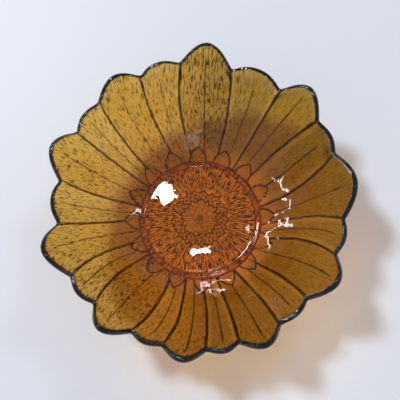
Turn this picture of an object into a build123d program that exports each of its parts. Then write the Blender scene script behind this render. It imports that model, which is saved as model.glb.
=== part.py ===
from build123d import *
import math
import os

# A pressed amber glass candy dish in the form of an open flower: a gently domed well with
# the flower's heart moulded under it, a low foot ring, a calyx of sepals and twenty petals that
# make the wall.
# Millimetres. +Z is up. The origin is on the table, on the axis of the well.

# ---- driving dimensions -------------------------------------------------------------------
DISH_HEIGHT = 65.5          # the longest petal's tip above the table
WALL_TOP_RADIUS = 90.0      # plan radius at that tip

FLOOR_RADIUS = 36.5         # the crease where the well turns up into the wall
CREASE_TOP = 9.0            # inside of the crease above the table
TROUGH_RADIUS = 33.0        # the low line round the well's domed floor
TROUGH_TOP = 7.3            # inside of the trough above the table
DOME_TOP = 12.0             # inside of the floor at its middle
DOME_UNDERSIDE = 7.0        # underside of the floor at its middle
BASE_UNDERSIDE = 2.5        # underside of the floor at the foot ring

WALL_SLOPE_LOW = 0.45       # rise over run where the wall leaves the crease
WALL_THICK_LOW = 5.0        # glass thickness at the crease
WALL_THICK_HIGH = 3.5       # glass thickness at the rim
BIG_PETAL_RELIEF = 0.6      # how far a large petal stands out on the outside

FOOT_INNER_RADIUS = 34.5
FOOT_OUTER_RADIUS = 38.5
FOOT_TOP = 4.5              # inside the glass of the wall, which cuts the ring's top to fit

SEPAL_COUNT = 16
SEPAL_TIP_RADIUS = 46.5
SEPAL_WIDTH = 10.5
SEPAL_THICK = 0.9
SEPAL_FIRST_BEARING = 92.0

BUTTON_RADIUS = 3.5
BUTTON_DEPTH = 1.2
HEART_RADIUS = 9.0
HEART_DEPTH = 0.5
SEED_RING_RADIUS = 17.5
SEED_RING_DEPTH = 0.7
STAMEN_COUNT = 48
STAMEN_INNER_RADIUS = 18.0
STAMEN_OUTER_RADIUS = 33.0
STAMEN_WIDTH = 0.7
STAMEN_DEPTH = 0.6

# Widths of the petals in degrees and plan radii of their tips, clockwise from the first notch.
# Large and small petals take turns, and no two are quite alike.
FIRST_NOTCH_BEARING = 98.0
BIG_PETAL_WIDTHS = (21, 20, 27, 21, 17, 16, 18, 22, 21, 20)
SMALL_PETAL_WIDTHS = (22, 15, 15, 15, 13, 13, 14, 18, 15, 17)
BIG_TIP_RADII = (90, 89, 87, 88, 88.5, 89.5, 90, 90, 88, 87)
SMALL_TIP_RADII = (84.5, 83.5, 83, 82.5, 85, 84.5, 84.5, 83, 83.5, 85)

# Plan radii of the notches between the petals, clockwise from the first notch.
NOTCH_RADII = (
    83, 81, 81, 82.5, 81.5, 81, 81, 80, 81.5, 81,
    83, 83, 81.5, 81, 82.5, 80, 80, 81, 82.5, 82,
)
BIG_TIP_POWER = 1.8         # a large petal comes nearly to a point
SMALL_TIP_POWER = 2.4       # a small petal is rounder
TIP_SAMPLES = 8             # points on each half of a petal's edge


def polar(radius, bearing):
    angle = math.radians(bearing)
    return (radius * math.cos(angle), radius * math.sin(angle))


def wall_line(inner, relief=0.0):
    """Control points of the wall's inner or outer line in the XZ plane: one parabola each."""
    run = WALL_TOP_RADIUS - FLOOR_RADIUS
    rise = DISH_HEIGHT - CREASE_TOP
    slope_high = 2 * rise / run - WALL_SLOPE_LOW
    start = (FLOOR_RADIUS, CREASE_TOP)
    end = (WALL_TOP_RADIUS, DISH_HEIGHT)
    if not inner:
        low = math.atan(WALL_SLOPE_LOW)
        high = math.atan(slope_high)
        thick_low = WALL_THICK_LOW + relief
        thick_high = WALL_THICK_HIGH + relief
        start = (start[0] + thick_low * math.sin(low), start[1] - thick_low * math.cos(low))
        end = (end[0] + thick_high * math.sin(high), end[1] - thick_high * math.cos(high))
        back = start[0] - FLOOR_RADIUS
        start = (FLOOR_RADIUS, start[1] - back * WALL_SLOPE_LOW)
    reach = end[0] - start[0]
    middle_run = (end[1] - start[1] - slope_high * reach) / (WALL_SLOPE_LOW - slope_high)
    middle = (start[0] + middle_run, start[1] + middle_run * WALL_SLOPE_LOW)
    return start, middle, end


def section_between(upper, lower):
    """The face in the XZ plane between two of the wall's lines."""
    upper = [(x, 0, z) for x, z in upper]
    lower = [(x, 0, z) for x, z in lower]
    return make_face(
        Wire(
            [
                Edge.make_bezier(*upper),
                Edge.make_line(upper[-1], lower[-1]),
                Edge.make_bezier(*reversed(lower)),
                Edge.make_line(lower[0], upper[0]),
            ]
        )
    )


def petal_band(relief, width):
    """The wall's cross-section turned through one petal's width, from bearing 0 upwards."""
    section = section_between(wall_line(True), wall_line(False, relief))
    return revolve(section, axis=Axis.Z, revolution_arc=width)


def petal_plan(tip_radius, power, width, notches):
    """The petal's outline from above: two straight sides from the axis and a curved tip."""
    half = width / 2
    edge = []
    for i in range(-TIP_SAMPLES, TIP_SAMPLES + 1):
        share = i / TIP_SAMPLES
        notch = notches[0] + (notches[1] - notches[0]) * (1 + share) / 2
        radius = notch + (tip_radius - notch) * (1 - abs(share) ** power)
        edge.append(polar(radius, half * (1 + share)))
    tip = Spline(*edge)
    sides = Polyline(edge[-1], (0, 0), edge[0])
    return make_face(tip + sides)


def petal(tip_radius, power, relief, width, bearing, notches):
    """One petal, with the notches at its low and its high bearing."""
    prism = extrude(petal_plan(tip_radius, power, width, notches), DISH_HEIGHT + 1)
    body = petal_band(relief, width) & prism
    return body.rotate(Axis.Z, bearing)


def ring(outer_radius, inner_radius, bottom, top):
    tube = Cylinder(outer_radius, top - bottom) - Cylinder(inner_radius, top - bottom)
    return Pos(0, 0, (top + bottom) / 2) * tube


def disc(radius, bottom, top):
    return Pos(0, 0, (top + bottom) / 2) * Cylinder(radius, top - bottom)


def dome_edge(middle_height, edge_radius, edge_height):
    """The arc of a shallow dome in the XZ plane, from the axis out to its edge."""
    sag = middle_height - edge_height
    radius = (edge_radius**2 + sag**2) / (2 * sag)
    half_way = edge_radius / 2
    half_height = middle_height - radius + math.sqrt(radius**2 - half_way**2)
    return ThreePointArc(
        (0, 0, middle_height), (half_way, 0, half_height), (edge_radius, 0, edge_height)
    )


def base_disc():
    """The well's domed floor, the trough round it and the band that rises to the crease."""
    wall_foot = wall_line(False)[0][1]
    upper = dome_edge(DOME_TOP, TROUGH_RADIUS, TROUGH_TOP)
    lower = dome_edge(DOME_UNDERSIDE, FOOT_INNER_RADIUS, BASE_UNDERSIDE)
    edge = Polyline(
        (TROUGH_RADIUS, 0, TROUGH_TOP),
        (FLOOR_RADIUS, 0, CREASE_TOP),
        (FLOOR_RADIUS, 0, wall_foot),
        (FOOT_INNER_RADIUS, 0, BASE_UNDERSIDE),
    )
    axis_line = Line((0, 0, DOME_UNDERSIDE), (0, 0, DOME_TOP))
    return revolve(make_face([upper, edge, lower, axis_line]), axis=Axis.Z)


def under_floor(depth):
    """The layer that lies under the domed floor, for the flower's heart."""
    upper = dome_edge(DOME_UNDERSIDE, FOOT_INNER_RADIUS, BASE_UNDERSIDE)
    lower = dome_edge(DOME_UNDERSIDE - depth, FOOT_INNER_RADIUS, BASE_UNDERSIDE - depth)
    middle = Line((0, 0, DOME_UNDERSIDE), (0, 0, DOME_UNDERSIDE - depth))
    rim = Line((FOOT_INNER_RADIUS, 0, BASE_UNDERSIDE),
               (FOOT_INNER_RADIUS, 0, BASE_UNDERSIDE - depth))
    return revolve(make_face([upper, rim, lower, middle]), axis=Axis.Z)


def wall_skin():
    """The layer just outside the wall, as thick as a sepal where the petals stand out most."""
    near = wall_line(False)
    far = wall_line(False, BIG_PETAL_RELIEF + SEPAL_THICK)
    return revolve(section_between(near, far), axis=Axis.Z)


def sepal(skin, bearing):
    """A pointed leaf on the outside of the wall, with its root against the foot ring."""
    length = SEPAL_TIP_RADIUS - FOOT_OUTER_RADIUS
    tip = (SEPAL_TIP_RADIUS, 0)
    roots = []
    sides = []
    for way in (-1, 1):
        root = (FOOT_OUTER_RADIUS, way * SEPAL_WIDTH / 2)
        shoulder = (FOOT_OUTER_RADIUS + 0.6 * length, way * 0.34 * SEPAL_WIDTH)
        sides.append(ThreePointArc(root, shoulder, tip))
        roots.append(root)
    plan = make_face(sides + [Line(*roots)])
    return skin & extrude(plan, DISH_HEIGHT).rotate(Axis.Z, bearing)


def heart_ring(outer_radius, inner_radius, depth):
    """A raised ring under the floor, centred on the flower's heart."""
    return under_floor(depth) & ring(outer_radius, inner_radius, 0, DOME_TOP)


def stamens():
    """Fine straight ribs that run out from the seeds to the foot."""
    layer = under_floor(STAMEN_DEPTH)
    length = STAMEN_OUTER_RADIUS - STAMEN_INNER_RADIUS
    middle = (STAMEN_OUTER_RADIUS + STAMEN_INNER_RADIUS) / 2
    rib = layer & (Pos(middle, 0, DOME_TOP / 2) * Box(length, STAMEN_WIDTH, DOME_TOP))
    return [rib.rotate(Axis.Z, i * 360 / STAMEN_COUNT) for i in range(STAMEN_COUNT)]


def write(node, shape):
    shape.label = node
    export_step(shape, f"parts/{node}.step")


os.makedirs("parts", exist_ok=True)

petals = {}
bearing = FIRST_NOTCH_BEARING
notch_radii = NOTCH_RADII + NOTCH_RADII[:1]
sizes = zip(BIG_PETAL_WIDTHS, BIG_TIP_RADII, SMALL_PETAL_WIDTHS, SMALL_TIP_RADII)
for number, (big_width, big_tip, small_width, small_tip) in enumerate(sizes, start=1):
    first, middle, last = notch_radii[2 * number - 2:2 * number + 1]
    bearing -= big_width
    petals[f"large_petal_{number:02d}"] = petal(
        big_tip, BIG_TIP_POWER, BIG_PETAL_RELIEF, big_width, bearing, (middle, first))
    bearing -= small_width
    petals[f"small_petal_{number:02d}"] = petal(
        small_tip, SMALL_TIP_POWER, 0.0, small_width, bearing, (last, middle))

base = base_disc()
foot = ring(FOOT_OUTER_RADIUS, FOOT_INNER_RADIUS, 0, FOOT_TOP) - base
skin = wall_skin() - disc(FOOT_OUTER_RADIUS, 0, CREASE_TOP)
for shape in petals.values():
    foot -= shape
    skin -= shape

for node, shape in petals.items():
    write(node, shape)
write("base_disc", base)
write("foot_ring", foot)
for i in range(SEPAL_COUNT):
    write(f"sepal_{i + 1:02d}", sepal(skin, SEPAL_FIRST_BEARING + i * 360 / SEPAL_COUNT))
write("centre_button", under_floor(BUTTON_DEPTH) & disc(BUTTON_RADIUS, 0, DOME_TOP))
write("heart_disc", heart_ring(HEART_RADIUS, BUTTON_RADIUS, HEART_DEPTH))
write("seed_ring", heart_ring(SEED_RING_RADIUS, HEART_RADIUS, SEED_RING_DEPTH))
write("stamens", Compound(children=stamens()))
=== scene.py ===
import math

import bpy
import numpy as np
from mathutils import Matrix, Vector, noise


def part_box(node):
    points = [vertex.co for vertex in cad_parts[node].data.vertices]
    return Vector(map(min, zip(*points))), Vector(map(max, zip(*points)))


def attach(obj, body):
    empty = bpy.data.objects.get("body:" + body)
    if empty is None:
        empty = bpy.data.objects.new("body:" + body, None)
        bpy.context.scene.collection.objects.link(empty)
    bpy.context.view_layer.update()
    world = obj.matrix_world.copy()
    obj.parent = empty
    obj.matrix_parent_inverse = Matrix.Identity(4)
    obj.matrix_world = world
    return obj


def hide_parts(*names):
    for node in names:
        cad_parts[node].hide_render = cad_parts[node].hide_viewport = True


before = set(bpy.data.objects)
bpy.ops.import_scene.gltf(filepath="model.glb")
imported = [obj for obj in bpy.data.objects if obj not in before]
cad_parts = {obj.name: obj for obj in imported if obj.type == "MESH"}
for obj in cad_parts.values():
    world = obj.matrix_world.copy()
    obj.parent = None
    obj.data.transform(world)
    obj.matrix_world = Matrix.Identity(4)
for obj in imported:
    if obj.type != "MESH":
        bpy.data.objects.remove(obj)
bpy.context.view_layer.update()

bl_info = {
    "name": "Pressed glass flower dish",
    "version": (1, 0, 0),
    "blender": (4, 5, 0),
    "location": "View3D > Sidebar > Flower Dish",
    "description": "Builds an amber pressed glass candy dish in the form of an open flower",
    "category": "Add Mesh",
}

MM = 0.001


def radius_of(node):
    """The plan radius of a round node, from its box."""
    low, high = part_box(node)
    return (high[0] - low[0]) / 2


def high_of(node):
    """The height of a node's top."""
    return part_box(node)[1][2]


# ---- sizes that a user would change ----------------------------------


class DishShape(bpy.types.PropertyGroup):
    """Sizes and bearings of the pressing. What the frame fixes is read from its nodes."""

    crease_top: bpy.props.FloatProperty(
        name="Crease height", description="Inside of the crease above the table",
        default=9.0 * MM, unit="LENGTH")
    trough_radius: bpy.props.FloatProperty(
        name="Trough radius", description="Radius of the low line round the domed floor",
        default=33.0 * MM, unit="LENGTH")
    trough_top: bpy.props.FloatProperty(
        name="Trough height", description="Inside of the trough above the table",
        default=7.3 * MM, unit="LENGTH")
    underside_edge: bpy.props.FloatProperty(
        name="Underside height", description="Underside of the floor where it meets the foot",
        default=2.5 * MM, unit="LENGTH")
    wall_slope_low: bpy.props.FloatProperty(
        name="Lower wall slope", description="Rise over run where the wall leaves the crease",
        default=0.45)
    wall_thick_low: bpy.props.FloatProperty(
        name="Lower wall thickness", description="Glass thickness at the crease",
        default=5.0 * MM, unit="LENGTH")
    wall_thick_high: bpy.props.FloatProperty(
        name="Rim thickness", description="Glass thickness at the rim, where it is rounded",
        default=3.1 * MM, unit="LENGTH")
    uneven_glass: bpy.props.FloatProperty(
        name="Uneven glass", description="Extra thickness on the side of the wall that filled last",
        default=2.0 * MM, unit="LENGTH")
    uneven_bearing: bpy.props.FloatProperty(
        name="Thick side", description="Bearing of the thickest side, in degrees", default=66.0)
    # Painted shade, not deeper glass: the colour is darkened on every side but the left, where the
    # light falls, centred on this bearing.
    deep_bearing: bpy.props.FloatProperty(
        name="Deep side", description="Bearing of the side with the deepest colour, in degrees",
        default=-2.0)
    deep: bpy.props.FloatProperty(
        name="Deep side strength", description="How much deeper the colour is there",
        default=0.76)
    # Painted light, not wear: the hatching is painted weak on the shaded side at this bearing and
    # strong on the lit side.
    worn_bearing: bpy.props.FloatProperty(
        name="Smooth side", description="Bearing where the mould's hatching is worn, in degrees",
        default=-8.0)
    large_relief: bpy.props.FloatProperty(
        name="Large petal relief", description="How far a large petal stands out on the outside",
        default=0.6 * MM, unit="LENGTH")
    petal_crown: bpy.props.FloatProperty(
        name="Petal crown", description="How far each petal swells on the outside",
        default=0.7 * MM, unit="LENGTH")
    petal_dish: bpy.props.FloatProperty(
        name="Petal hollow", description="How far each petal is hollowed on the inside",
        default=0.45 * MM, unit="LENGTH")
    seam_depth: bpy.props.FloatProperty(
        name="Seam depth", description="Depth of the groove between two petals",
        default=0.8 * MM, unit="LENGTH")
    seam_width: bpy.props.FloatProperty(
        name="Seam half width", description="Half width of the groove between two petals",
        default=0.36 * MM, unit="LENGTH")
    rib_depth: bpy.props.FloatProperty(
        name="Midrib depth", description="Depth of the line along the middle of a petal",
        default=0.45 * MM, unit="LENGTH")
    rib_width: bpy.props.FloatProperty(
        name="Midrib half width", description="Half width of a petal's middle line",
        default=0.28 * MM, unit="LENGTH")
    large_tip_power: bpy.props.FloatProperty(
        name="Large tip shape", description="Lower values bring a large petal nearer to a point",
        default=1.8)
    small_tip_power: bpy.props.FloatProperty(
        name="Small tip shape", description="Higher values make a small petal rounder",
        default=2.4)
    sepal_count: bpy.props.IntProperty(
        name="Sepals", description="Number of small leaves round the foot", default=16)
    sepal_tip: bpy.props.FloatProperty(
        name="Sepal reach", description="Plan radius of a sepal's tip",
        default=46.5 * MM, unit="LENGTH")
    sepal_bearing: bpy.props.FloatProperty(
        name="First sepal", description="Bearing of the first sepal, in degrees", default=92.0)
    foot_inner: bpy.props.FloatProperty(
        name="Foot inner radius", description="Inside radius of the foot ring",
        default=34.5 * MM, unit="LENGTH")
    sepal_height: bpy.props.FloatProperty(
        name="Sepal height", description="How far a sepal stands out from the wall",
        default=0.9 * MM, unit="LENGTH")
    sepal_width: bpy.props.FloatProperty(
        name="Sepal width", description="Width of a sepal at its root",
        default=10.5 * MM, unit="LENGTH")
    stamen_count: bpy.props.IntProperty(
        name="Stamens", description="Number of fine ribs under the well", default=112)
    stamen_height: bpy.props.FloatProperty(
        name="Stamen height", description="How far a stamen stands out under the well",
        default=0.6 * MM, unit="LENGTH")
    foot_groove: bpy.props.FloatProperty(
        name="Foot grooves", description="Depth of the grooves across the foot between stamens",
        default=0.5 * MM, unit="LENGTH")
    rim_inset: bpy.props.FloatProperty(
        name="Rim inset", description="From a petal's reach to the inside edge of its round rim",
        default=2.2 * MM, unit="LENGTH")
    rim_round: bpy.props.FloatProperty(
        name="Rim softness", description="Angle over which the rim's notches are rounded",
        default=math.radians(1.4), subtype="ANGLE")
    ripple: bpy.props.FloatProperty(
        name="Ripple", description="How far the inside of the wall waves in and out",
        default=0.35 * MM, unit="LENGTH")
    ripple_length: bpy.props.FloatProperty(
        name="Ripple length", description="Distance over which the inside waves",
        default=11 * MM, unit="LENGTH")
    wrinkle: bpy.props.FloatProperty(
        name="Wrinkle", description="Height of the small wrinkles inside the wall",
        default=0.13 * MM, unit="LENGTH")
    wrinkle_length: bpy.props.FloatProperty(
        name="Wrinkle length", description="Distance over which the inside wrinkles",
        default=4.2 * MM, unit="LENGTH")
    columns_per_petal: bpy.props.IntProperty(
        name="Columns per petal", description="Mesh columns across one petal", default=28)


class SeedRelief(bpy.types.PropertyGroup):
    """Sizes of the seeds round the heart of the flower."""

    count: bpy.props.IntProperty(
        name="Seeds", description="Number of seeds in the spiral", default=100)
    radius: bpy.props.FloatProperty(
        name="Seed radius", description="Radius of one round seed",
        default=1.2 * MM, unit="LENGTH")
    height: bpy.props.FloatProperty(
        name="Seed height", description="How far a seed stands out under the well",
        default=0.7 * MM, unit="LENGTH")


class AmberGlass(bpy.types.PropertyGroup):
    """The colour of the glass."""

    depth_colour: bpy.props.FloatVectorProperty(
        name="Depth colour", description="Colour that deepens with the thickness of the glass",
        subtype="COLOR", size=3, default=(0.90, 0.745, 0.195))
    depth: bpy.props.FloatProperty(
        name="Depth strength", description="How fast the colour deepens, per metre", default=400.0)
    tint: bpy.props.FloatVectorProperty(
        name="Tint", description="Colour that each face adds",
        subtype="COLOR", size=3, default=(1.0, 0.80, 0.41))
    well: bpy.props.FloatVectorProperty(
        name="Well", description="Extra colour of the relief under the well",
        subtype="COLOR", size=3, default=(1.0, 0.68, 0.18))
    shadow: bpy.props.FloatVectorProperty(
        name="Shadow", description="What each face of the wall lets through of a lamp's light",
        subtype="COLOR", size=3, default=(0.56, 0.42, 0.22))
    well_shadow: bpy.props.FloatVectorProperty(
        name="Well shadow", description="What each face of the well lets through of that light",
        subtype="COLOR", size=3, default=(1.0, 0.80, 0.40))


def settings(name):
    """One of the scene's property groups."""
    return getattr(bpy.context.scene, name)


# ---- the petals, from the frame's nodes ------------------------------


# How far each seam leans anticlockwise from its notch's bearing, in degrees: at LEAN_MIDDLE of the
# way from the crease to the rim, and at the crease. In turn round the axis, clockwise from above,
# from the anticlockwise side of large_petal_01.
SEAM_LEAN = (
    (2.7, -0.5), (-2.2, -2.5), (1.3, 2.4), (4.0, 5.5), (-4.5, -8.5), (3.8, 2.0), (5.8, 3.0),
    (3.4, 2.0), (2.0, 1.0), (1.0, 0.0), (1.5, 0.5), (2.9, 1.0), (2.6, 1.0), (-6.5, -9.0),
    (-6.5, -9.0), (-2.5, -8.0), (0.0, -3.0), (-1.0, -2.5), (1.5, 0.5), (0.9, -4.0),
)
LEAN_MIDDLE = 0.6
TIP_PART = 0.8
SAME_BEARING = 1e-3


def petal_facts():
    """Each petal of the frame in turn round the axis: its place, reach, notches and seams."""
    facts = []
    for name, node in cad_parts.items():
        if "_petal_" not in name:
            continue
        corners = np.array([corner.co[:] for corner in node.data.vertices])
        reach = np.hypot(corners[:, 0], corners[:, 1])
        outer = corners[reach > TIP_PART * reach.max()].mean(axis=0)
        middle = math.atan2(outer[1], outer[0])
        bearing = np.arctan2(corners[:, 1], corners[:, 0]) - middle
        bearing = (bearing + math.pi) % (2 * math.pi) - math.pi
        start, end = bearing.min(), bearing.max()
        large = name.startswith("large")
        turn = 2 * int(name[-2:]) - (2 if large else 1)
        facts.append({
            "start": (middle + start) % (2 * math.pi),
            "width": end - start,
            "tip": reach.max(),
            "notch_start": reach[bearing < start + SAME_BEARING].max(),
            "notch_end": reach[bearing > end - SAME_BEARING].max(),
            "top": corners[:, 2].max(),
            "large": large,
            "lean_start": SEAM_LEAN[(turn + 1) % len(SEAM_LEAN)],
            "lean_end": SEAM_LEAN[turn],
        })
    return sorted(facts, key=lambda fact: fact["start"])


def smooth(value):
    """0 below 0, 1 above 1 and an even rise between."""
    value = np.clip(value, 0.0, 1.0)
    return value * value * (3 - 2 * value)


class Columns:
    """The mesh's columns round the axis, closer together at seams and midribs."""

    CROWDING = 0.8

    def __init__(self, shape):
        petals = petal_facts()
        steps = np.arange(shape.columns_per_petal) / shape.columns_per_petal
        share = steps - self.CROWDING * np.sin(4 * math.pi * steps) / (4 * math.pi)
        self.share = np.tile(share, len(petals))

        def each(key):
            return np.repeat([float(fact[key]) for fact in petals], share.size)

        self.width = each("width")
        self.bearing = each("start") + self.width * self.share
        self.large = each("large")
        power = np.where(self.large > 0, shape.large_tip_power, shape.small_tip_power)
        notch, tip = each("notch_start"), each("tip")
        notch = notch + (each("notch_end") - notch) * self.share
        reach = notch + (tip - notch) * (1 - np.abs(2 * self.share - 1) ** power)
        self.reach = self.rounded(reach, shape.rim_round)
        longest = max(petals, key=lambda fact: fact["tip"])
        self.top_radius, self.top = longest["tip"], longest["top"]
        step = 2 * math.pi / self.bearing.size
        even = np.arange(self.bearing.size) * step
        self.even = even + (self.bearing - even).mean()
        near, far = (np.radians([fact[key] for fact in petals]).repeat(share.size, axis=0)
                     for key in ("lean_start", "lean_end"))
        self.lean = near + (far - near) * self.share[:, None]

    def rounded(self, reach, width):
        """The reach with its corners rounded, by a weighted mean over the columns nearby."""
        apart = self.bearing[:, None] - self.bearing[None, :]
        apart = (apart + math.pi) % (2 * math.pi) - math.pi
        gap = (np.roll(self.bearing, -1) - np.roll(self.bearing, 1)) % (2 * math.pi)
        weight = np.exp(-(apart / width)**2) * gap[None, :]
        return (weight * reach[None, :]).sum(axis=1) / weight.sum(axis=1)

    def sway(self, share):
        """How far each column is turned from its bearing at the rim, at a share of the wall."""
        middle, base = self.lean[:, 0], self.lean[:, 1]
        left = 1 - LEAN_MIDDLE
        swell = (middle - base * left) / (LEAN_MIDDLE * left)
        return (1 - share) * (base + swell * share)


def dome_height(radius, middle, edge_radius, edge):
    """Height of a shallow spherical dome at a plan radius."""
    sag = middle - edge
    ball = (edge_radius**2 + sag**2) / (2 * sag)
    return middle - ball + np.sqrt(ball**2 - radius**2)


def ease_between(share, start, end, start_slope, end_slope, run):
    """A curve that leaves start and meets end at the given slopes."""
    t, t2, t3 = share, share**2, share**3
    return (start * (2 * t3 - 3 * t2 + 1) + run * start_slope * (t3 - 2 * t2 + t)
            + end * (3 * t2 - 2 * t3) + run * end_slope * (t3 - t2))


class Wall:
    """The wall's cross-section at every column, and the relief on its outside."""

    RIM_FADE = 0.05           # share of the wall over which a seam runs out at the rim
    PETAL_SIDE = 0.8 * MM     # width of the step from a seam up to a large petal
    RIB_STOP = 2 * MM         # from the end of a midrib to the petal's reach
    RIB_FADE = 4 * MM         # length over which a midrib runs out
    BAND_PLACE = 1.7 * MM     # from a seam to the painted highlight band along a small petal
    BAND_HALF = 1 * MM        # half width of that band
    LEAF_POWER = 2.2          # higher values make a sepal blunter
    LEAF_SIDE = 0.6 * MM      # width of the step up to a sepal
    LEAF_LINE_PLACE = 0.15 * MM
    LEAF_LINE_HALF = 0.45 * MM
    LEAF_LINE_END = 1.05      # where the line round a sepal's tip stops, by the sepal's reach
    HOLLOW_GROWTH = 3         # how fast a petal's hollow grows from the crease
    WAVES_GROWTH = 6          # how fast the waves grow from the crease
    WAVES_FADE = 0.1          # share of the wall over which they run out at the rim
    # Shares of the wall over which the extra thickness grows and runs out, and the painted shade
    # grows.
    FILL_START, FILL_END, DEEP_START = 0.3, 0.15, 0.25
    # How dark the lines show, where a seam is 1, and how much the painted highlight band lightens a
    # small petal.
    SEAM_AT_RIM, RIB_LINE, LEAF_LINE, LEAF_TONE, BAND_CLEAR = 0.4, 0.75, 1.8, 0.15, 0.3
    # How strongly the hatching shows on the lit side, and how much of that is lost on the shaded
    # side: painted light, not wear.
    FRESH, WORN = 1.15, 0.9
    # A side's start, as the cosine of the turn from its bearing, and the rise to its full strength.
    WORN_SIDE, DEEP_SIDE = (-0.55, 0.95), (-0.48, 0.62)

    def __init__(self, shape, columns):
        self.shape, self.columns = shape, columns
        self.foot = radius_of("base_disc")
        run = columns.top_radius - self.foot
        rise = columns.top - shape.crease_top
        self.bend = (rise - shape.wall_slope_low * run) / run**2
        self.run = run
        self.edge = columns.reach - shape.rim_inset

    def height(self, radius):
        """Height of the plain inside at a plan radius."""
        out = radius - self.foot
        return self.shape.crease_top + self.shape.wall_slope_low * out + self.bend * out**2

    def slope(self, radius):
        """Rise over run of the plain inside at a plan radius."""
        return self.shape.wall_slope_low + 2 * self.bend * (radius - self.foot)

    def toward(self, bearing, start=0.0, rise=1.0):
        """How far each column is on the side of a bearing in degrees, from 0 to 1."""
        turn = self.columns.bearing - math.radians(bearing)
        return smooth((np.cos(turn) - start) / rise)

    def inner(self, share):
        """Radius and height of the inside, at a share of the way from the crease to the rim."""
        shape, columns = self.shape, self.columns
        radius = self.foot + share * (self.edge - self.foot)
        grown = smooth(share * self.HOLLOW_GROWTH)
        hollow = shape.petal_dish * np.sin(math.pi * columns.share)**2 * grown
        bearing = columns.bearing + columns.sway(share)
        x, y = radius * np.cos(bearing), radius * np.sin(bearing)
        rough = (shape.ripple * waves(x, y, shape.ripple_length)
                 + shape.wrinkle * waves(x, y, shape.wrinkle_length))
        rough = rough * smooth(share * self.WAVES_GROWTH)
        hollow = hollow + rough * smooth((1 - share) / self.WAVES_FADE)
        lean = np.arctan(self.slope(radius))
        return radius + hollow * np.sin(lean), self.height(radius) - hollow * np.cos(lean)

    def relief(self, radius, share):
        """What the outside adds to the plain thickness, and how dark a line shows there, less on
        the painted highlight band of a small petal.
        """
        shape, columns = self.shape, self.columns
        arc = columns.width * radius
        seam = np.minimum(columns.share, 1 - columns.share) * arc
        middle = (columns.share - 0.5) * arc
        near_rim = smooth((1 - share) / self.RIM_FADE)
        crown = shape.petal_crown * np.sin(math.pi * columns.share)**2
        step = shape.large_relief * columns.large * smooth(seam / self.PETAL_SIDE)
        seam_line = np.exp(-(seam / shape.seam_width)**2)
        rib_end = smooth((columns.reach - radius - self.RIB_STOP) / self.RIB_FADE)
        rib_line = np.exp(-(middle / shape.rib_width)**2) * rib_end
        # Painted highlight: a light band along each side of a small petal, beside the seam.
        band = np.exp(-((seam - self.BAND_PLACE) / self.BAND_HALF)**2) * (1 - columns.large)
        leaf, leaf_line = self.sepal(radius, columns.bearing + columns.sway(share))
        seam_line, rib_line, band = (line * (1 - leaf) for line in (seam_line, rib_line, band))
        added = (crown + step - shape.seam_depth * seam_line * near_rim
                 - shape.rib_depth * rib_line)
        seam_tone = self.SEAM_AT_RIM + (1 - self.SEAM_AT_RIM) * near_rim
        line = np.maximum(seam_line * seam_tone, self.RIB_LINE * rib_line)
        line = np.maximum(line, leaf_line) - self.BAND_CLEAR * band + self.LEAF_TONE * leaf
        return added + shape.sepal_height * leaf, line

    def sepal(self, radius, bearing):
        """How far the small leaves rise here, from 0 to 1, and how strongly their edge shows."""
        shape = self.shape
        root, tip = radius_of("foot_ring"), shape.sepal_tip
        pitch = 2 * math.pi / shape.sepal_count
        turn = (bearing - math.radians(shape.sepal_bearing) + pitch / 2) % pitch - pitch / 2
        out = (radius * np.cos(turn) - root) / (tip - root)
        side = np.abs(radius * np.sin(turn))
        half = shape.sepal_width / 2 * (1 - np.clip(out, 0, 1)**self.LEAF_POWER)
        inside = np.where(out < 1, half - side, -1 * MM)
        from_line = (inside - self.LEAF_LINE_PLACE) / self.LEAF_LINE_HALF
        edge = self.LEAF_LINE * np.exp(-from_line**2) * (out < self.LEAF_LINE_END)
        return smooth(inside / self.LEAF_SIDE) * (out < 1), edge

    def cut(self):
        """How strongly the hatching shows at each column, as painted light: strong on the lit side,
        weak on the shaded side.
        """
        return self.FRESH - self.WORN * self.toward(self.shape.worn_bearing, *self.WORN_SIDE)

    def outer(self, share):
        """Radius and height of the outside at that share, and how dark a line shows with the
        painted shade on the side away from the light.
        """
        shape = self.shape
        radius = self.foot + share * (self.edge - self.foot)
        lean = np.arctan(self.slope(radius))
        along = (radius - self.foot) / self.run
        thick = shape.wall_thick_low + (shape.wall_thick_high - shape.wall_thick_low) * along
        filled = smooth(share / self.FILL_START) * smooth((1 - share) / self.FILL_END)
        thick = thick + shape.uneven_glass * self.toward(shape.uneven_bearing) * filled
        added, line = self.relief(radius + thick * np.sin(lean), share)
        # Painted shade: the colour darkens on every side of the dish but the left, away from the
        # light.
        deeper = self.toward(shape.deep_bearing, *self.DEEP_SIDE)
        line = line + shape.deep * (deeper * smooth(share / self.DEEP_START))
        thick = thick + added
        return radius + thick * np.sin(lean), self.height(radius) - thick * np.cos(lean), line


def waves(x, y, length):
    """Gentle uneven waves over the plan, between about -1 and 1."""
    return np.array([noise.noise((px / length, py / length, 0.3)) for px, py in zip(x, y)]) * 1.6


# What the skin's points carry for the seeds and the glass to read, with the values at the middle
# of the well and at the middle beneath it.
# The mark for lines also carries the painted shade away from the light and the painted highlight
# bands; the mark for the hatching's strength is painted light, strong on the lit side and weak on
# the shaded side.
MARKS = {"outside": (0.0, 1.0), "line": (0.0, 0.8), "sway": (0.0, 0.0), "well": (1.0, 1.0),
         "cut": (0.0, 0.0)}


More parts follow.
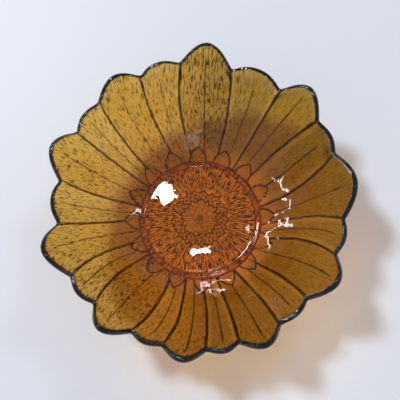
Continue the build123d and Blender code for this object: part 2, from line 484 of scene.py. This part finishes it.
class Skin:
    """Rings of the pressing from the middle of the well, over the rim, to the middle beneath."""

    def __init__(self, columns):
        self.columns, self.rings = columns, []

    def add(self, radius, height, even=1.0, share=0.0, **marks):
        """One ring with its marks, which are 0 where they aren't given.

        Its columns are evenly spaced where even is 1, and follow the petals where it is 0.
        """
        columns = self.columns
        sway = columns.sway(share)
        bearing = columns.bearing + sway
        bearing = bearing + even * (columns.even - bearing)
        marks["sway"] = sway * (1 - even)
        rows = [radius * np.cos(bearing), radius * np.sin(bearing), height]
        rows += [marks.get(mark, 0.0) for mark in MARKS]
        self.rings.append([np.broadcast_to(row, bearing.shape) for row in rows])

    def mesh(self, name, top, bottom):
        """The closed mesh, with a point at top and at bottom and the rings between."""
        rings = np.array(self.rings)
        count, _, wide = rings.shape
        points = rings[:, :3].transpose(0, 2, 1).reshape(-1, 3)
        points = np.vstack([points, [0, 0, top], [0, 0, bottom]])
        index = np.arange(count * wide).reshape(count, wide)
        ahead = np.roll(index, -1, axis=1)
        quads = np.stack([index[:-1], index[1:], ahead[1:], ahead[:-1]], axis=2).reshape(-1, 4)
        first, last = count * wide, count * wide + 1
        cap = [(first, int(a), int(b)) for a, b in zip(index[0], ahead[0])]
        base = [(last, int(b), int(a)) for a, b in zip(index[-1], ahead[-1])]
        mesh = bpy.data.meshes.new(name)
        mesh.from_pydata(points.tolist(), [], quads.tolist() + cap + base)
        for row, (mark, middles) in enumerate(MARKS.items(), start=3):
            values = np.concatenate([rings[:, row].ravel(), middles])
            layer = mesh.attributes.new(mark, "FLOAT", "POINT")
            layer.data.foreach_set("value", values.astype(np.float32))
        mesh.shade_smooth()
        mesh.update()
        return mesh


# Rings of points along each stretch of the section.
FLOOR_RINGS, TROUGH_RINGS, INSIDE_RINGS, RIM_RINGS = 10, 7, 40, 8
OUTSIDE_RINGS, SEPAL_RINGS, STAMEN_RINGS, SEED_RINGS = 25, 18, 13, 27

# The foot ring's section in millimetres: from its outside radius inwards, then from its inside
# radius outwards, each with the height above the table.
FOOT_OUTSIDE = ((0.0, 2.6), (0.25, 1.3), (0.6, 0.5), (1.1, 0.1), (1.6, 0.0))
FOOT_INSIDE = ((1.4, 0.0), (0.8, 0.2), (0.2, 0.9), (-0.4, 1.9))

# One step in radius along the sides of the heart and its button.
HEART_STEP = 0.25 * MM


def add_inside(skin, shape, wall):
    """The domed floor, the trough round it, the crease and the inside of the wall."""
    dome_top = high_of("base_disc")

    def floor_top(radius):
        return dome_height(radius, dome_top, shape.trough_radius, shape.trough_top)

    start = shape.trough_radius - 0.5 * MM      # where the dome starts to turn into the trough
    for radius in np.linspace(1.5 * MM, start - 2 * MM, FLOOR_RINGS):
        skin.add(radius, floor_top(radius), well=1.0)
    fall = (floor_top(start + 0.1 * MM) - floor_top(start - 0.1 * MM)) / (0.2 * MM)
    run = wall.foot - start
    for share in np.linspace(0, 1, TROUGH_RINGS + 1)[:-1]:
        height = ease_between(share, floor_top(start), shape.crease_top, fall,
                              shape.wall_slope_low, run)
        skin.add(start + share * run, height, even=1 - smooth(share), well=1 - share)
    for share in np.linspace(0, 1, INSIDE_RINGS):
        skin.add(*wall.inner(share), even=0, share=share)


def add_rim(skin, wall):
    """The rounded rim, between the inside and the outside of the wall."""
    inside, outside = wall.inner(1.0), wall.outer(1.0)
    lean = np.arctan(wall.slope(wall.edge))
    middle = [(inside[i] + outside[i]) / 2 for i in (0, 1)]
    half = [(inside[i] - outside[i]) / 2 for i in (0, 1)]
    size = np.hypot(*half)
    for turn in np.linspace(0, math.pi, RIM_RINGS + 2)[1:-1]:
        skin.add(middle[0] + half[0] * math.cos(turn) + size * math.sin(turn) * np.cos(lean),
                 middle[1] + half[1] * math.cos(turn) + size * math.sin(turn) * np.sin(lean),
                 even=0, share=1, outside=turn / math.pi)


def add_outside(skin, shape, wall):
    """The outside of the petals, with the sepals at their foot."""
    run = skin.columns.top_radius - wall.foot
    leaf_share = (shape.sepal_tip + 0.5 * MM - radius_of("foot_ring")) / run
    cut = wall.cut()
    for share in np.concatenate([np.linspace(1, leaf_share, OUTSIDE_RINGS + 1)[:-1],
                                 np.linspace(leaf_share, 0, SEPAL_RINGS)]):
        radius, height, line = wall.outer(share)
        skin.add(radius, height, even=0, share=share, outside=1.0, line=line, cut=cut)


def floor_under(shape, radius):
    """Height of the plain underside of the floor at a plan radius."""
    return dome_height(radius, high_of("centre_button"), shape.foot_inner, shape.underside_edge)


def rib_height(skin, shape):
    """How high a stamen stands at each column, from 0 to 1."""
    return 0.5 + 0.5 * np.cos(shape.stamen_count * skin.columns.even)


def add_foot(skin, shape):
    """The foot ring, with grooves across it between the stamens."""
    foot_out, foot_in = radius_of("foot_ring"), shape.foot_inner
    profile = [(foot_out - inset * MM, height * MM) for inset, height in FOOT_OUTSIDE]
    profile += [(foot_in + out * MM, height * MM) for out, height in FOOT_INSIDE]
    profile.append((foot_in - MM, floor_under(shape, foot_in - MM)))
    groove = 1 - rib_height(skin, shape)
    for order, (radius, height) in enumerate(profile):
        turn = smooth(order / (len(profile) - 1))
        depth = shape.foot_groove * groove * math.sin(math.pi * turn)
        skin.add(radius, height + depth, even=turn, outside=1.0, line=0.5 * groove,
                 well=0.5 + 0.5 * turn)


def add_stamens(skin, shape):
    """The fine ribs under the well, and the plain bed that the seeds are pressed into."""
    rib = rib_height(skin, shape)
    start, end = radius_of("stamens"), radius_of("seed_ring")
    for radius in np.linspace(start + 0.3 * MM, end + 0.3 * MM, STAMEN_RINGS):
        ends = smooth((start - radius) / (1.5 * MM)) * smooth((radius - end) / MM)
        skin.add(radius, floor_under(shape, radius) - shape.stamen_height * rib * ends,
                 outside=1.0, line=0.95 * (1 - rib)**3 * ends, well=1.0)
    for radius in np.linspace(end, radius_of("heart_disc") + 0.3 * MM, SEED_RINGS):
        skin.add(radius, floor_under(shape, radius), outside=1.0, well=0.85)


def add_heart(skin, shape):
    """The heart's plain disc and the hollowed button in its middle."""
    heart, button, step = radius_of("heart_disc"), radius_of("centre_button"), HEART_STEP
    for radius, depth, line in (
        (heart, 0.0, 0.5), (heart - step, 0.35, 0.5), (heart - 3 * step, 0.5, 0.45),
        (heart * 0.7, 0.5, 0.4), (button + 4 * step, 0.5, 0.45), (button + step, 0.45, 0.5),
        (button, 0.7, 0.1), (button - step, 1.05, 0.0), (button - 3 * step, 1.2, 0.4),
        (button * 0.5, 1.2, 0.8), (button * 0.25, 0.9, 0.8),
    ):
        skin.add(radius, floor_under(shape, radius) - depth * MM, outside=1.0, line=line,
                 well=0.6)


def pressing_mesh(shape):
    """The whole pressing as one closed mesh."""
    columns = Columns(shape)
    wall = Wall(shape, columns)
    skin = Skin(columns)
    add_inside(skin, shape, wall)
    add_rim(skin, wall)
    add_outside(skin, shape, wall)
    add_foot(skin, shape)
    add_stamens(skin, shape)
    add_heart(skin, shape)
    button_middle = high_of("centre_button") - 0.6 * MM
    return skin.mesh("glass_pressing", high_of("base_disc"), button_middle)


# ---- node helpers ----------------------------------------------------


def add(tree, kind, place, values=(), **props):
    """One node, with its properties and its inputs' plain values set."""
    node = tree.nodes.new(kind)
    node.location = place
    for name, value in props.items():
        setattr(node, name, value)
    for key, value in dict(values).items():
        node.inputs[key].default_value = value
    return node


def calc(tree, operation, place, *inputs, clamp=False):
    """One maths node. Each input is a socket or a number."""
    node = add(tree, "ShaderNodeMath", place, operation=operation, use_clamp=clamp)
    for slot, value in enumerate(inputs):
        if isinstance(value, bpy.types.NodeSocket):
            tree.links.new(value, node.inputs[slot])
        else:
            node.inputs[slot].default_value = value
    return node.outputs[0]


def noise_texture(tree, vector, place, **values):
    """One noise texture on a vector, with its inputs' values."""
    texture = add(tree, "ShaderNodeTexNoise", place, values)
    tree.links.new(vector, texture.inputs["Vector"])
    return texture.outputs[0]


def new_group(name, kind, inputs, outputs):
    """A node group with named sockets: (name, socket type, default or None)."""
    tree = bpy.data.node_groups.new(name, kind)
    for direction, sockets in (("INPUT", inputs), ("OUTPUT", outputs)):
        for socket_name, socket_type, default in sockets:
            socket = tree.interface.new_socket(socket_name, in_out=direction,
                                               socket_type=socket_type)
            if default is not None:
                socket.default_value = default
    start = add(tree, "NodeGroupInput", (-1200, 0))
    end = add(tree, "NodeGroupOutput", (1200, 0))
    return tree, start.outputs, end.inputs


# ---- seeds: a spiral of round bumps on the underside -----------------


# Each point keeps how far it is from the nearest seed's middle, in seed radii, up to this far.
SEED_FAR = 4.0


def seed_tree():
    """Geometry Nodes: pushes the underside out in a dome at every point of a seed spiral."""
    number, whole = "NodeSocketFloat", "NodeSocketInt"
    tree, given, result = new_group(
        "seed_relief", "GeometryNodeTree",
        [("Geometry", "NodeSocketGeometry", None), ("Count", whole, 200),
         ("Seed Radius", number, 0.001), ("Seed Height", number, 0.001),
         ("Inner Radius", number, 0.01), ("Outer Radius", number, 0.02),
         ("Jitter", number, 0.0), ("Random Seed", whole, 0),
         ("Material", "NodeSocketMaterial", None)],
        [("Geometry", "NodeSocketGeometry", None)])
    link = tree.links.new
    golden_angle = math.pi * (3 - math.sqrt(5))
    index = add(tree, "GeometryNodeInputIndex", (-1000, 400)).outputs[0]
    share = calc(tree, "DIVIDE", (-800, 400), calc(tree, "ADD", (-900, 400), index, 0.5),
                 given["Count"])
    inner = calc(tree, "POWER", (-900, 200), given["Inner Radius"], 2.0)
    outer = calc(tree, "POWER", (-900, 100), given["Outer Radius"], 2.0)
    area = calc(tree, "MULTIPLY_ADD", (-600, 300), share,
                calc(tree, "SUBTRACT", (-700, 150), outer, inner), inner)
    radius = calc(tree, "SQRT", (-500, 300), area)
    angle = calc(tree, "MULTIPLY", (-600, 500), index, golden_angle)
    place = add(tree, "ShaderNodeCombineXYZ", (-300, 400))
    for slot, turn in enumerate(("COSINE", "SINE")):
        part = calc(tree, "MULTIPLY", (-400, 400 + 100 * slot), radius,
                    calc(tree, turn, (-500, 500 + 100 * slot), angle))
        link(part, place.inputs[slot])
    shake = add(tree, "FunctionNodeRandomValue", (-500, 0),
                {"Min": (-1, -1, 0), "Max": (1, 1, 0)}, data_type="FLOAT_VECTOR")
    link(given["Random Seed"], shake.inputs["Seed"])
    scaled = add(tree, "ShaderNodeVectorMath", (-300, 0), operation="SCALE")
    link(shake.outputs[0], scaled.inputs[0])
    link(given["Jitter"], scaled.inputs["Scale"])
    moved = add(tree, "ShaderNodeVectorMath", (-100, 200), operation="ADD")
    link(place.outputs[0], moved.inputs[0])
    link(scaled.outputs[0], moved.inputs[1])
    points = add(tree, "GeometryNodePoints", (100, 300))
    link(given["Count"], points.inputs["Count"])
    link(moved.outputs[0], points.inputs["Position"])

    position = add(tree, "GeometryNodeInputPosition", (-300, -300))
    flat = add(tree, "ShaderNodeVectorMath", (-100, -300), {1: (1, 1, 0)},
               operation="MULTIPLY")
    link(position.outputs[0], flat.inputs[0])
    outside = add(tree, "GeometryNodeInputNamedAttribute", (400, -200), {"Name": "outside"},
                  data_type="FLOAT").outputs[0]
    near = add(tree, "GeometryNodeProximity", (300, 100), target_element="POINTS")
    link(points.outputs[0], near.inputs[0])
    link(flat.outputs[0], near.inputs["Sample Position"])
    ratio = calc(tree, "DIVIDE", (500, 100), near.outputs["Distance"], given["Seed Radius"])
    off_side = calc(tree, "MULTIPLY_ADD", (550, -100), outside, -SEED_FAR, SEED_FAR)
    ratio_kept = calc(tree, "MINIMUM", (600, -100), SEED_FAR,
                      calc(tree, "ADD", (570, -100), ratio, off_side))
    left = calc(tree, "SUBTRACT", (600, 100), 1.0, calc(tree, "POWER", (550, 0), ratio, 2.0),
                clamp=True)
    dome = calc(tree, "MULTIPLY", (700, 100), calc(tree, "SQRT", (650, 100), left),
                given["Seed Height"])
    down = calc(tree, "MULTIPLY", (800, 0),
                calc(tree, "MULTIPLY", (750, 0), dome, outside), -1.0)
    offset = add(tree, "ShaderNodeCombineXYZ", (850, 0))
    link(down, offset.inputs[2])
    pushed = add(tree, "GeometryNodeSetPosition", (900, 200))
    link(given["Geometry"], pushed.inputs["Geometry"])
    link(offset.outputs[0], pushed.inputs["Offset"])
    kept = add(tree, "GeometryNodeStoreNamedAttribute", (950, 200), {"Name": "seed"},
               data_type="FLOAT")
    link(pushed.outputs[0], kept.inputs["Geometry"])
    link(ratio_kept, kept.inputs["Value"])
    real = add(tree, "GeometryNodeRealizeInstances", (1000, 200))
    link(kept.outputs[0], real.inputs[0])
    finish = add(tree, "GeometryNodeSetMaterial", (1100, 200))
    link(real.outputs[0], finish.inputs[0])
    link(given["Material"], finish.inputs["Material"])
    link(finish.outputs[0], result["Geometry"])
    return tree


def bake_nodes(piece, tree, values):
    """Runs a Geometry Nodes tree on a piece and keeps the result as its plain mesh."""
    modifier = piece.modifiers.new(tree.name, "NODES")
    modifier.node_group = tree
    sockets = {item.name: item.identifier for item in tree.interface.items_tree
               if item.in_out == "INPUT"}
    for name, value in values.items():
        modifier[sockets[name]] = value
    seen = piece.evaluated_get(bpy.context.evaluated_depsgraph_get())
    mesh = bpy.data.meshes.new_from_object(seen)
    piece.modifiers.remove(modifier)
    piece.data = mesh
    mesh.name = piece.name
    mesh.shade_smooth()


# ---- materials -------------------------------------------------------


# How a pattern darkens the glass: its low and high value, and the darkness that goes with each.
HATCH_DARK = (0.37, 0.54, 0.9, -0.22)
BLOTCH_DARK = (0.3, 0.6, 0.2, -0.05)
STREAK_DARK = (0.44, 0.52, 1.35, 0.02)
LINE_DARK = 0.85
# How much light a face keeps, from its darkness in the same way.
LIGHT_KEPT = (0.04, 1.0, 1.0, 0.01)
# How dark a seed shows: the distance from its middle as a share of SEED_FAR, and the darkness.
SEED_DARK = ((0.0, 0.9), (0.06, 0.8), (0.11, 0.0), (0.18, 0.0), (0.235, 1.2), (0.32, 1.1),
             (0.42, 0.0))
# How fine the streaks under the well are.
STREAKS = {"Across": 26.0, "Along": 260.0}
# How much the rim's rough skin and a slight ripple add to the hatching's bump.
ROUGH_RIM, SLIGHT_RIPPLE = 3.0, 0.25
TABLE_COLOUR = (0.76, 0.795, 0.885, 1)


def petal_grain():
    """Shader group: fine hatching that runs out from the axis and follows the seams' lean."""
    tree, given, result = new_group(
        "petal_grain", "ShaderNodeTree",
        [("Position", "NodeSocketVector", None), ("Sway", "NodeSocketFloat", 0.0),
         ("Across", "NodeSocketFloat", 100.0), ("Along", "NodeSocketFloat", 330.0)],
        [("Grain", "NodeSocketFloat", None)])
    link = tree.links.new
    parts = add(tree, "ShaderNodeSeparateXYZ", (-900, 0))
    link(given["Position"], parts.inputs[0])
    x, y = parts.outputs[0], parts.outputs[1]
    angle = calc(tree, "SUBTRACT", (-500, 200), calc(tree, "ARCTAN2", (-700, 200), y, x),
                 given["Sway"])
    square = calc(tree, "ADD", (-500, -100), calc(tree, "POWER", (-700, -50), x, 2.0),
                  calc(tree, "POWER", (-700, -200), y, 2.0))
    radius = calc(tree, "SQRT", (-400, -100), square)
    place = add(tree, "ShaderNodeCombineXYZ", (-100, 0))
    link(calc(tree, "MULTIPLY", (-300, 200), angle, given["Across"]), place.inputs[0])
    link(calc(tree, "MULTIPLY", (-300, 0), radius, given["Along"]), place.inputs[1])
    grain = noise_texture(tree, place.outputs[0], (200, 0), Scale=1.0, Detail=3.0,
                          Roughness=0.65)
    link(grain, result["Grain"])
    return tree


def spread(tree, value, place, low, high, to_low, to_high):
    """Stretches a value's range to another, clamped at both ends."""
    node = add(tree, "ShaderNodeMapRange", place, {
        "From Min": low, "From Max": high, "To Min": to_low, "To Max": to_high})
    tree.links.new(value, node.inputs["Value"])
    return node.outputs[0]


def seed_dark(tree, seed):
    """How dark the middle and the edge of each seed show."""
    ring = add(tree, "ShaderNodeValToRGB", (-1200, -200))
    ramp = ring.color_ramp
    while len(ramp.elements) < len(SEED_DARK):
        ramp.elements.new(1.0)
    for stop, (position, value) in zip(ramp.elements, SEED_DARK):
        stop.position = position
        stop.color = (value, value, value, 1)
    tree.links.new(calc(tree, "DIVIDE", (-1400, -200), seed, SEED_FAR), ring.inputs[0])
    return ring.outputs[0]


def light_kept(tree, place, marks, grain, streaks):
    """How much light each face keeps between its hatching, blotches, lines and seeds, with the
    painted shade, the painted highlight bands and the hatching painted stronger on the lit side.
    """
    blotch = noise_texture(tree, place, (-1500, -100), Scale=130.0, Detail=2.0, Roughness=0.55)
    hatch_dark = spread(tree, grain, (-1200, 400), *HATCH_DARK)
    blotch_dark = spread(tree, blotch, (-1200, 200), *BLOTCH_DARK)
    # The hatching and blotches are scaled by the hatching's strength mark, which is painted light:
    # strong on the lit side, weak on the shaded side.
    outside_dark = calc(tree, "MULTIPLY", (-900, 300),
                        calc(tree, "ADD", (-1000, 300), hatch_dark, blotch_dark), marks["cut"])
    streak_dark = calc(tree, "MULTIPLY", (-900, 500), marks["beneath"],
                       spread(tree, streaks, (-1200, 600), *STREAK_DARK))
    lines = calc(tree, "ADD", (-1000, 0), marks["line"], streak_dark)
    lines = calc(tree, "ADD", (-900, 0), lines, seed_dark(tree, marks["seed"]))
    dark = calc(tree, "MULTIPLY_ADD", (-700, 200), lines, LINE_DARK, outside_dark)
    return spread(tree, dark, (-500, 200), *LIGHT_KEPT)


def face_colour(tree, light, beneath, glass):
    """The tint of each face, by the light it keeps, and warmer under the well."""
    grey = add(tree, "ShaderNodeCombineColor", (-300, 100))
    for slot in range(3):
        tree.links.new(light, grey.inputs[slot])
    tint = add(tree, "ShaderNodeMix", (-100, 300), {"Factor": 1.0, 6: (*glass.tint, 1)},
               data_type="RGBA", blend_type="MULTIPLY")
    tree.links.new(grey.outputs[0], tint.inputs[7])
    warm = add(tree, "ShaderNodeMix", (0, 400), {7: (*glass.well, 1)},
               data_type="RGBA", blend_type="MULTIPLY")
    tree.links.new(beneath, warm.inputs["Factor"])
    tree.links.new(tint.outputs[2], warm.inputs[6])
    return warm.outputs[2]


def fine_relief(tree, place, marks, grain):
    """The bump of the hatching, of a slight ripple everywhere and of the rim's rough skin."""
    sparkle = noise_texture(tree, place, (-1500, -700), Scale=700.0, Detail=0.0)
    rim = calc(tree, "MULTIPLY", (-1200, -700), marks["outside"],
               calc(tree, "SUBTRACT", (-1300, -700), 1.0, marks["outside"]))
    rim_relief = calc(tree, "MULTIPLY", (-1000, -700), rim, sparkle)
    relief = calc(tree, "MULTIPLY_ADD", (-900, -300), grain, marks["cut"],
                  calc(tree, "MULTIPLY", (-900, -600), rim_relief, ROUGH_RIM))
    ripple = noise_texture(tree, place, (-1500, -500), Scale=260.0, Detail=1.0)
    height = calc(tree, "MULTIPLY_ADD", (-700, -300), ripple, SLIGHT_RIPPLE, relief)
    bump = add(tree, "ShaderNodeBump", (-300, -200), {"Strength": 0.8, "Distance": 0.4 * MM})
    tree.links.new(height, bump.inputs["Height"])
    return bump.outputs[0]


def shadow_glass(tree, well, glass):
    """What a lamp's light meets on its way through: a tinted, clear face."""
    shade = add(tree, "ShaderNodeMix", (0, -300),
                {6: (*glass.shadow, 1), 7: (*glass.well_shadow, 1)}, data_type="RGBA")
    tree.links.new(well, shade.inputs["Factor"])
    clear = add(tree, "ShaderNodeBsdfTransparent", (200, -300))
    tree.links.new(shade.outputs[2], clear.inputs["Color"])
    return clear.outputs[0]


def glass_material():
    """Clear amber glass: its colour deepens with its thickness, and lamps shine through it."""
    glass = settings("dish_glass")
    material = bpy.data.materials.new("amber_glass")
    material.use_nodes = True
    tree = material.node_tree
    tree.nodes.clear()
    link = tree.links.new
    place = add(tree, "ShaderNodeTexCoord", (-1800, 0)).outputs["Object"]
    marks = {name: add(tree, "ShaderNodeAttribute", (-1800, -200 - 150 * row),
                       attribute_name=name).outputs["Fac"]
             for row, name in enumerate((*MARKS, "seed"))}
    marks["beneath"] = calc(tree, "MULTIPLY", (-1500, -900), marks["outside"], marks["well"])
    grain_tree = petal_grain()
    hatch = add(tree, "ShaderNodeGroup", (-1500, 200), node_tree=grain_tree)
    streaks = add(tree, "ShaderNodeGroup", (-1500, 500), STREAKS, node_tree=grain_tree)
    for group in (hatch, streaks):
        link(place, group.inputs["Position"])
    link(marks["sway"], hatch.inputs["Sway"])
    grain = hatch.outputs["Grain"]
    light = light_kept(tree, place, marks, grain, streaks.outputs["Grain"])

    body = add(tree, "ShaderNodeBsdfPrincipled", (200, 200),
               {"Roughness": 0.0, "IOR": 1.5, "Transmission Weight": 1.0})
    link(face_colour(tree, light, marks["beneath"], glass), body.inputs["Base Color"])
    link(fine_relief(tree, place, marks, grain), body.inputs["Normal"])
    path = add(tree, "ShaderNodeLightPath", (200, 600))
    mix = add(tree, "ShaderNodeMixShader", (500, 200))
    link(path.outputs["Is Shadow Ray"], mix.inputs[0])
    link(body.outputs[0], mix.inputs[1])
    link(shadow_glass(tree, marks["well"], glass), mix.inputs[2])
    depth = add(tree, "ShaderNodeVolumeAbsorption", (500, -200),
                {"Color": (*glass.depth_colour, 1), "Density": glass.depth})
    out = add(tree, "ShaderNodeOutputMaterial", (800, 100))
    link(mix.outputs[0], out.inputs["Surface"])
    link(depth.outputs[0], out.inputs["Volume"])
    return material


def table_material():
    """A pale, cool, plain table top."""
    material = bpy.data.materials.new("pale_table")
    material.use_nodes = True
    body = material.node_tree.nodes["Principled BSDF"]
    body.inputs["Base Color"].default_value = TABLE_COLOUR
    body.inputs["Roughness"].default_value = 0.5
    return material


# ---- operators -------------------------------------------------------


def link_object(name, data):
    """A new object in the scene, at the origin."""
    piece = bpy.data.objects.new(name, data)
    bpy.context.scene.collection.objects.link(piece)
    return piece


class DISH_OT_pressing(bpy.types.Operator):
    """Make the pressed glass dish: well, heart, foot, sepals and petals in one glass"""

    bl_idname = "flower_dish.pressing"
    bl_label = "Glass Pressing"

    def execute(self, context):
        shape, seeds = settings("dish_shape"), settings("dish_seeds")
        piece = link_object("glass_pressing", pressing_mesh(shape))
        bake_nodes(piece, seed_tree(), {
            "Count": seeds.count, "Seed Radius": seeds.radius, "Seed Height": seeds.height,
            "Inner Radius": radius_of("heart_disc") + 1.5 * seeds.radius,
            "Outer Radius": radius_of("seed_ring") - seeds.radius,
            "Jitter": 0.1 * MM, "Random Seed": 4, "Material": glass_material(),
        })
        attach(piece, "root")
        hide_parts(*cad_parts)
        return {"FINISHED"}


def aim(piece, target):
    """Turns a lamp or a camera at a point, with its top side up."""
    piece.rotation_euler = (Vector(target) - piece.location).to_track_quat("-Z", "Y").to_euler()


# Each soft lamp: bearing and rise in degrees, distance, width and height, power, and whether it
# lights the scene or only shows as a reflection in the glass.
LAMPS = {
    "daylight": (149, 57, 4.5, (0.60, 0.70), 116.0, True),
    "fill_light": (55, 50, 4.5, (0.90, 0.90), 22.0, True),
    "window": (127, 52, 1.2, (0.22, 0.28), 8.0, False),
    "strip_left": (172, 22, 1.2, (0.50, 0.07), 1.8, False),
    "strip_low_left": (190, 33, 1.2, (0.30, 0.06), 1.0, False),
    "strip_upper_left": (150, 31, 1.2, (0.34, 0.07), 1.3, False),
    "strip_right": (12, 48, 1.2, (0.05, 0.45), 1.0, False),
    "strip_above": (-86, 80, 1.2, (0.30, 0.07), 1.9, False),
    "strip_front": (-75, 40, 1.2, (0.35, 0.06), 0.12, False),
    "strip_back": (100, 25, 1.2, (0.40, 0.05), 0.8, False),
}

SKY_COLOUR, SKY_STRENGTH = (0.95, 0.97, 1.0, 1), 0.37
TABLE_HALF = 6.0
TABLE_GAP = 0.1 * MM          # keeps the table clear of the foot

# The camera's place, by about the dish's plan radius.
DISH_RADIUS = 89 * MM
CAMERA_LENS, CAMERA_SENSOR = 78.8, 36
CAMERA_RISE = math.radians(75)
CAMERA_DISTANCE = 5.4 * DISH_RADIUS
CAMERA_MIDDLE = 0.71 * DISH_RADIUS


def soft_lamp(name, bearing, elevation, distance, size, power, lights):
    """A rectangular soft lamp that faces the dish."""
    lamp = bpy.data.lights.new(name, "AREA")
    lamp.shape = "RECTANGLE"
    lamp.size, lamp.size_y = size
    lamp.energy = power
    piece = link_object(name, lamp)
    piece.visible_diffuse, piece.visible_glossy = lights, not lights
    piece.visible_transmission = False
    turn, rise = math.radians(bearing), math.radians(elevation)
    piece.location = (distance * math.cos(rise) * math.cos(turn),
                      distance * math.cos(rise) * math.sin(turn), distance * math.sin(rise))
    aim(piece, (0, 0, high_of("base_disc")))


def add_table():
    """The plain table top, just under the foot."""
    mesh = bpy.data.meshes.new("table_top")
    corners = [(x * TABLE_HALF, y * TABLE_HALF, -TABLE_GAP)
               for x, y in ((-1, -1), (1, -1), (1, 1), (-1, 1))]
    mesh.from_pydata(corners, [], [(0, 1, 2, 3)])
    mesh.materials.append(table_material())
    link_object("table_top", mesh)


def add_sky(scene):
    """A dim, even light from all round."""
    world = bpy.data.worlds.new("soft_room")
    world.use_nodes = True
    sky = world.node_tree.nodes["Background"]
    sky.inputs["Color"].default_value = SKY_COLOUR
    sky.inputs["Strength"].default_value = SKY_STRENGTH
    scene.world = world


def add_camera(scene):
    """The camera, high over the front of the dish."""
    camera = bpy.data.cameras.new("camera")
    camera.lens = CAMERA_LENS
    camera.sensor_width = CAMERA_SENSOR
    camera.clip_start = 0.01
    eye = link_object("camera", camera)
    eye.location = (0, -CAMERA_DISTANCE * math.cos(CAMERA_RISE),
                    CAMERA_MIDDLE + CAMERA_DISTANCE * math.sin(CAMERA_RISE))
    aim(eye, (0, -2.8 * MM, CAMERA_MIDDLE - 0.75 * MM))
    scene.camera = eye


class DISH_OT_stage(bpy.types.Operator):
    """Make the plain table, the soft light and the camera"""

    bl_idname = "flower_dish.stage"
    bl_label = "Table, Light and Camera"

    def execute(self, context):
        context.scene.view_settings.view_transform = "Standard"
        add_table()
        add_sky(context.scene)
        for name, values in LAMPS.items():
            soft_lamp(name, *values)
        add_camera(context.scene)
        return {"FINISHED"}


class DISH_PT_panel(bpy.types.Panel):
    """The dish's sizes, its glass and the buttons that make it"""

    bl_label = "Flower Dish"
    bl_idname = "DISH_PT_panel"
    bl_space_type = "VIEW_3D"
    bl_region_type = "UI"
    bl_category = "Flower Dish"

    def draw(self, context):
        for name, group in GROUPS:
            box = self.layout.box()
            for key in group.__annotations__:
                box.prop(getattr(context.scene, name), key)
        for operator in OPERATORS:
            self.layout.operator(operator.bl_idname)


GROUPS = (("dish_shape", DishShape), ("dish_seeds", SeedRelief), ("dish_glass", AmberGlass))
OPERATORS = (DISH_OT_stage, DISH_OT_pressing)


def register():
    for name, group in GROUPS:
        bpy.utils.register_class(group)
        setattr(bpy.types.Scene, name, bpy.props.PointerProperty(type=group))
    for operator in OPERATORS:
        bpy.utils.register_class(operator)
    bpy.utils.register_class(DISH_PT_panel)


def unregister():
    bpy.utils.unregister_class(DISH_PT_panel)
    for operator in reversed(OPERATORS):
        bpy.utils.unregister_class(operator)
    for name, group in reversed(GROUPS):
        delattr(bpy.types.Scene, name)
        bpy.utils.unregister_class(group)


def main():
    register()
    bpy.ops.flower_dish.stage()
    bpy.ops.flower_dish.pressing()


if __name__ == "__main__":
    main()
